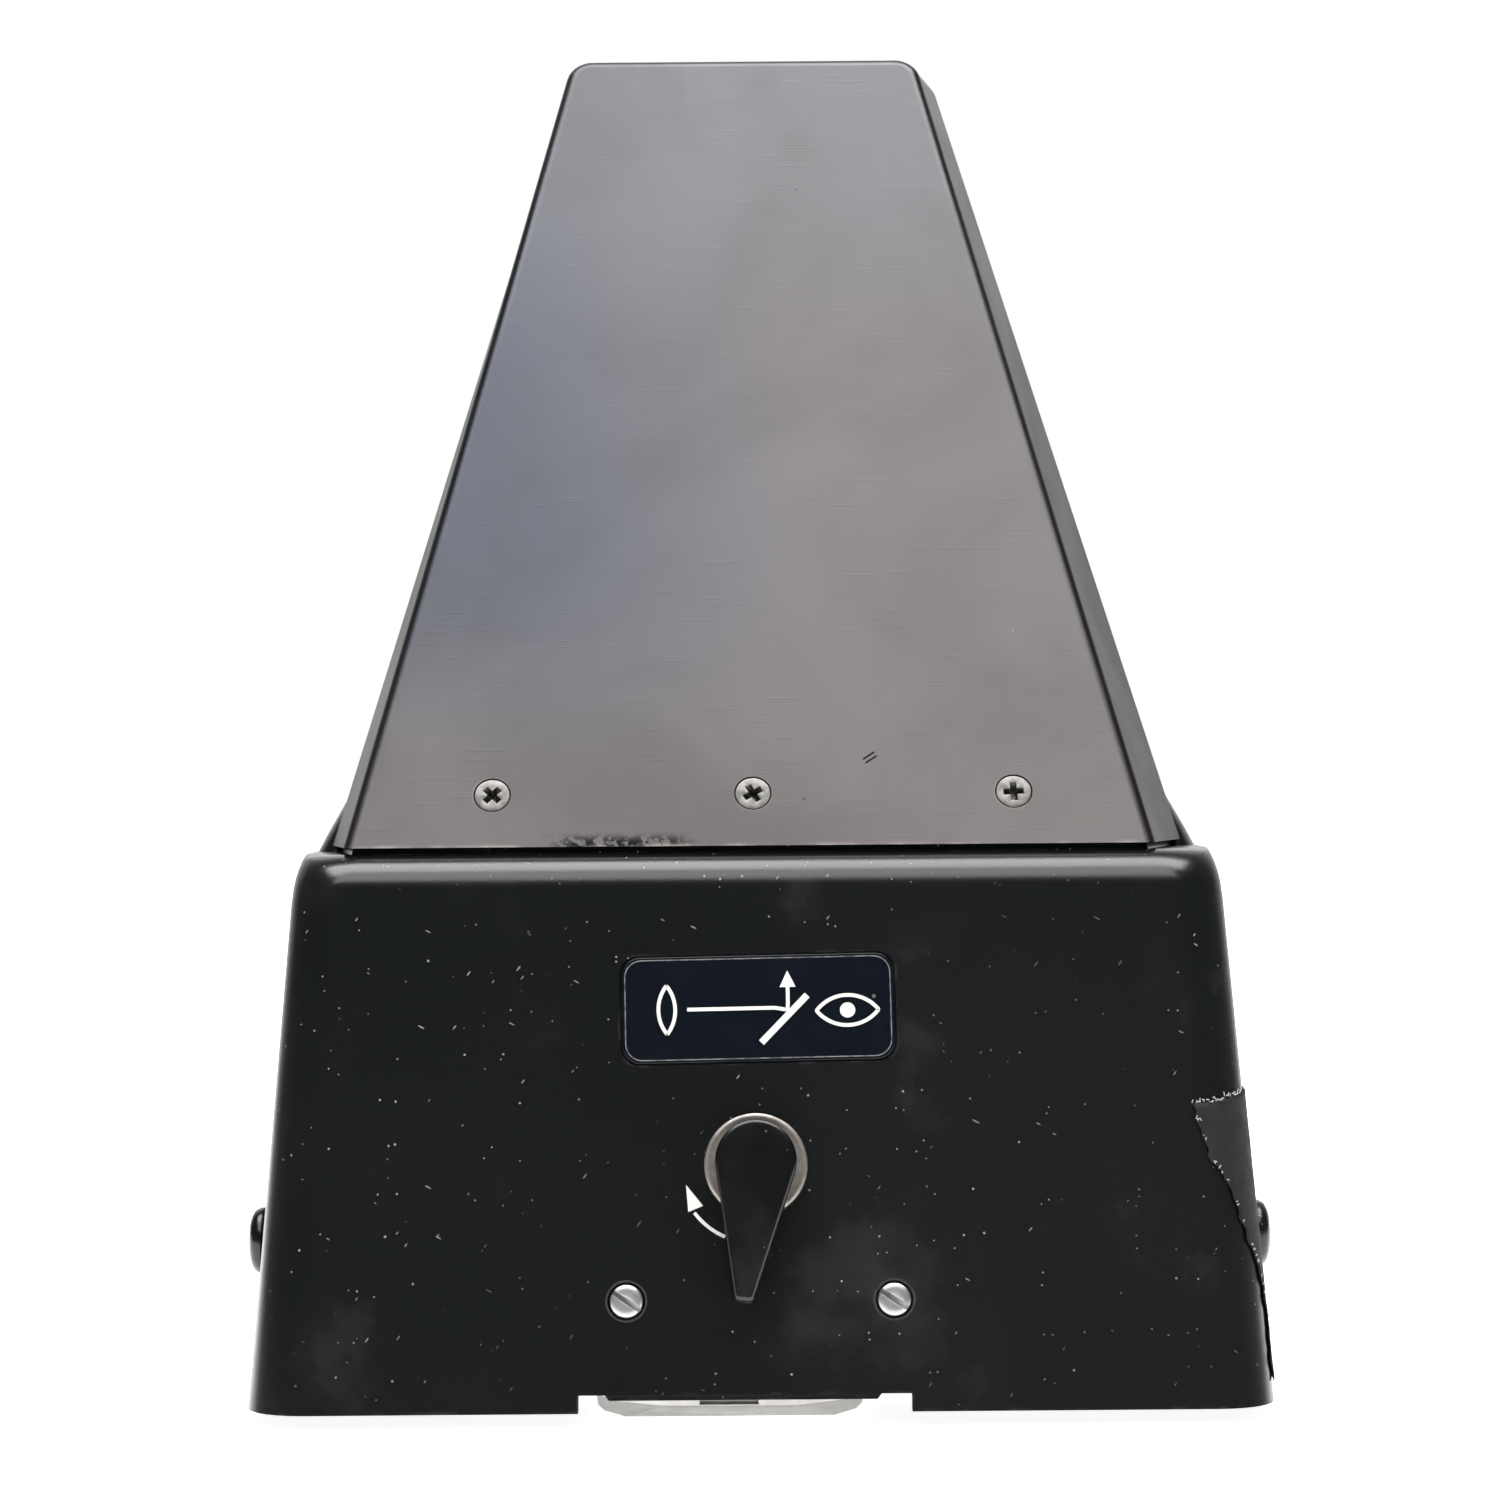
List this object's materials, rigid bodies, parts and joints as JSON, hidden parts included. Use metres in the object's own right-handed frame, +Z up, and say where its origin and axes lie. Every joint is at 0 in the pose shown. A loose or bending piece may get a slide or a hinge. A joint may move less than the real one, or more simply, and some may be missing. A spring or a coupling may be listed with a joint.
{
  "type": "reflex viewing hood",
  "caption": "Tapered reflex viewing hood for a sheet-film camera back, with a mirror under a screwed sheet cover, a lever-released base latch and a focusing eyepiece.",
  "frame": {"origin": "centre of the bounding box at its lowest level, where the light-trap rib rests", "axes": "+Z up from the base opening to the narrow end, -Y the side with the lever and the mirror cover, +X right as seen from that side"},
  "size_m": [0.1576, 0.1656, 0.2229],
  "materials": {
    "housing_black": "satin black moulding with fine dust and faint smudges",
    "cover_grey": "grey anodised satin sheet with rubbed edges",
    "mirror": "front-silvered glass",
    "felt": "black felt",
    "steel": "turned and ground steel",
    "latch_steel": "bright plated steel",
    "screw_steel": "dull nickel-plated screw",
    "bush_metal": "worn nickel over brass",
    "lever_black": "black moulding with rubbed edges",
    "plate_navy": "dark blue enamelled plate",
    "rubber": "matt black rubber",
    "glass": "coated optical glass"
  },
  "bodies": {
    "hood": {"lower_housing": "housing_black", "upper_hood": "housing_black", "rear_cover": "housing_black", "latch_guide": "housing_black", "side_stud_left": "housing_black", "side_stud_right": "housing_black", "eyepiece_barrel": "housing_black", "mirror_cover": "cover_grey", "mirror": "mirror", "mirror_backing_pad": "felt", "base_light_seal": "felt", "mirror_clip_low_left": "steel", "mirror_clip_low_right": "steel", "mirror_clip_high_left": "steel", "mirror_clip_high_right": "steel", "base_frame": "steel", "hook_lug_left": "steel", "hook_lug_right": "steel", "cover_screw_left": "screw_steel", "cover_screw_middle": "screw_steel", "cover_screw_right": "screw_steel", "frame_screw_front_left": "screw_steel", "frame_screw_back_left": "screw_steel", "frame_screw_front_right": "screw_steel", "frame_screw_back_right": "screw_steel", "lug_screw_left": "screw_steel", "lug_screw_right": "screw_steel", "guide_screw_left": "screw_steel", "guide_screw_right": "screw_steel", "barrel_screw_1": "screw_steel", "barrel_screw_2": "screw_steel", "barrel_screw_3": "screw_steel", "rear_screw_1": "screw_steel", "rear_screw_2": "screw_steel", "rear_screw_3": "screw_steel", "rear_screw_4": "screw_steel", "lever_bush": "bush_metal", "bush_nut": "bush_metal", "name_plate": "plate_navy"},
    "lever": {"release_lever": "lever_black", "lever_shaft": "steel", "lever_cam": "steel"},
    "latch": {"latch_plate": "latch_steel", "latch_spring_left": "steel", "latch_spring_right": "steel"},
    "focus": {"focusing_ring": "housing_black"},
    "lens_unit": {"lens_tube": "housing_black", "inner_lens": "glass", "lens_spacer": "housing_black", "eye_lens": "glass", "lens_retaining_ring": "housing_black", "eyecup": "rubber"}
  },
  "joints": [
    {"name": "lever_turn", "type": "hinge", "parent": "hood", "child": "lever", "pos_m": [-0.0005, -0.07082, 0.03771], "axis": [0, 0.9781, -0.2079], "range_deg": [0, 80]},
    {"name": "latch_slide", "type": "slide", "parent": "hood", "child": "latch", "axis": [0, 0, 1], "range_m": [0, 0.003], "stiffness_N_per_m": 600, "springref_m": -0.004, "deforming": ["latch_spring_left", "latch_spring_right"]},
    {"name": "focus_turn", "type": "hinge", "parent": "hood", "child": "focus", "pos_m": [0, 0.03963, 0.1844], "axis": [0, 0.829, 0.5592], "range_deg": [0, 180]},
    {"name": "lens_slide", "type": "slide", "parent": "hood", "child": "lens_unit", "axis": [0, 0.829, 0.5592], "range_m": [0, 0.004]}
  ],
  "couplings": [
    {"joint": "lever_turn", "follows": "latch_slide", "rad_per_m": 465.42},
    {"joint": "focus_turn", "follows": "lens_slide", "rad_per_m": 785.39}
  ]
}
